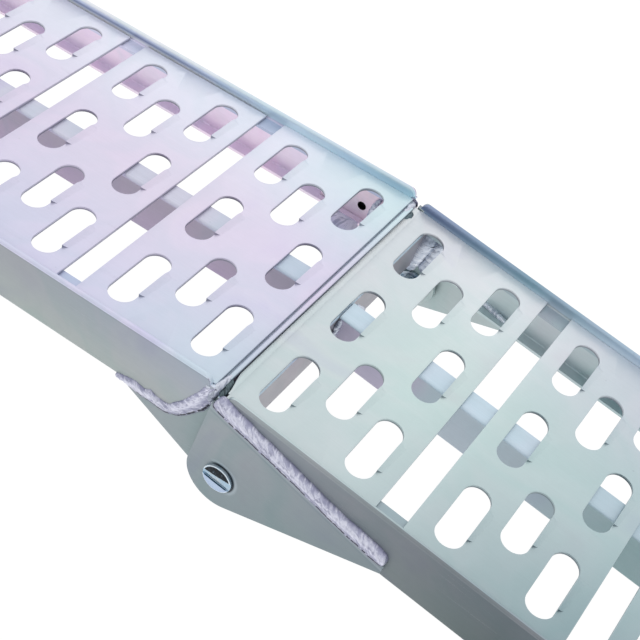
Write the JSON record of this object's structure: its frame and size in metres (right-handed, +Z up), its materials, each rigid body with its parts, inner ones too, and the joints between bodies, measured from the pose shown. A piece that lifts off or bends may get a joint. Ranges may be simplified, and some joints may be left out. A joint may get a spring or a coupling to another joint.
{
  "type": "folding loading ramp",
  "caption": "Long narrow loading ramp in two hinged channel halves with slotted anti-slip tread panels, side lips, hinge gussets, a hook end and a ground end.",
  "frame": {"origin": "middle of the footprint on the ground, with the ramp open and standing on the outer ends of its rails", "axes": "+X along the ramp from the hook half to the ground half, +Y across it, +Z up"},
  "size_m": [2.1052, 0.229, 0.1103],
  "materials": {
    "deck_upper": "zinc plated, lavender passivation, satin",
    "deck_lower": "zinc plated, green-blue passivation, satin",
    "rail_upper": "zinc plated, satin grey",
    "rail_lower": "zinc plated, satin grey",
    "frame_upper": "zinc plated, satin mauve grey",
    "frame_lower": "zinc plated, satin grey",
    "hinge_gusset": "zinc plated, satin grey",
    "weld_metal": "plated weld bead, rippled",
    "fastener": "bright blue zinc"
  },
  "bodies": {
    "half_a": {"deck_panel_a1": "deck_upper", "deck_panel_a2": "deck_upper", "deck_panel_a3": "deck_upper", "deck_panel_a4": "deck_upper", "deck_panel_a5": "deck_upper", "deck_panel_a6": "deck_upper", "deck_panel_a7": "deck_upper", "deck_panel_a8": "deck_upper", "deck_panel_a9": "deck_upper", "side_rail_a_near": "rail_upper", "side_rail_a_far": "rail_upper", "centre_rib_a": "frame_upper", "hinge_cross_member_a": "frame_upper", "end_cross_member_a": "frame_upper", "hook_plate_a": "frame_upper", "hinge_gusset_a_near": "hinge_gusset", "hinge_gusset_a_far": "hinge_gusset", "weld_bead_a_near": "weld_metal", "weld_bead_a_far": "weld_metal"},
    "half_b": {"deck_panel_b1": "deck_lower", "deck_panel_b2": "deck_lower", "deck_panel_b3": "deck_lower", "deck_panel_b4": "deck_lower", "deck_panel_b5": "deck_lower", "deck_panel_b6": "deck_lower", "deck_panel_b7": "deck_lower", "deck_panel_b8": "deck_lower", "deck_panel_b9": "deck_lower", "side_rail_b_near": "rail_lower", "side_rail_b_far": "rail_lower", "centre_rib_b": "frame_lower", "hinge_cross_member_b": "frame_lower", "end_cross_member_b": "frame_lower", "ground_plate_b": "frame_lower", "hinge_gusset_b_near": "hinge_gusset", "hinge_gusset_b_far": "hinge_gusset", "weld_bead_b_near": "weld_metal", "weld_bead_b_far": "weld_metal", "pivot_bolt_near": "fastener", "pivot_bolt_far": "fastener", "pivot_spacer_near": "fastener", "pivot_spacer_far": "fastener", "pivot_washer_near": "fastener", "pivot_washer_far": "fastener", "pivot_nut_near": "fastener", "pivot_nut_far": "fastener"}
  },
  "joints": [
    {"name": "fold_hinge", "type": "hinge", "parent": "half_a", "child": "half_b", "pos_m": [0.00188, 0, 0.04529], "axis": [0, 1, 0], "range_deg": [0, 172.5]}
  ]
}
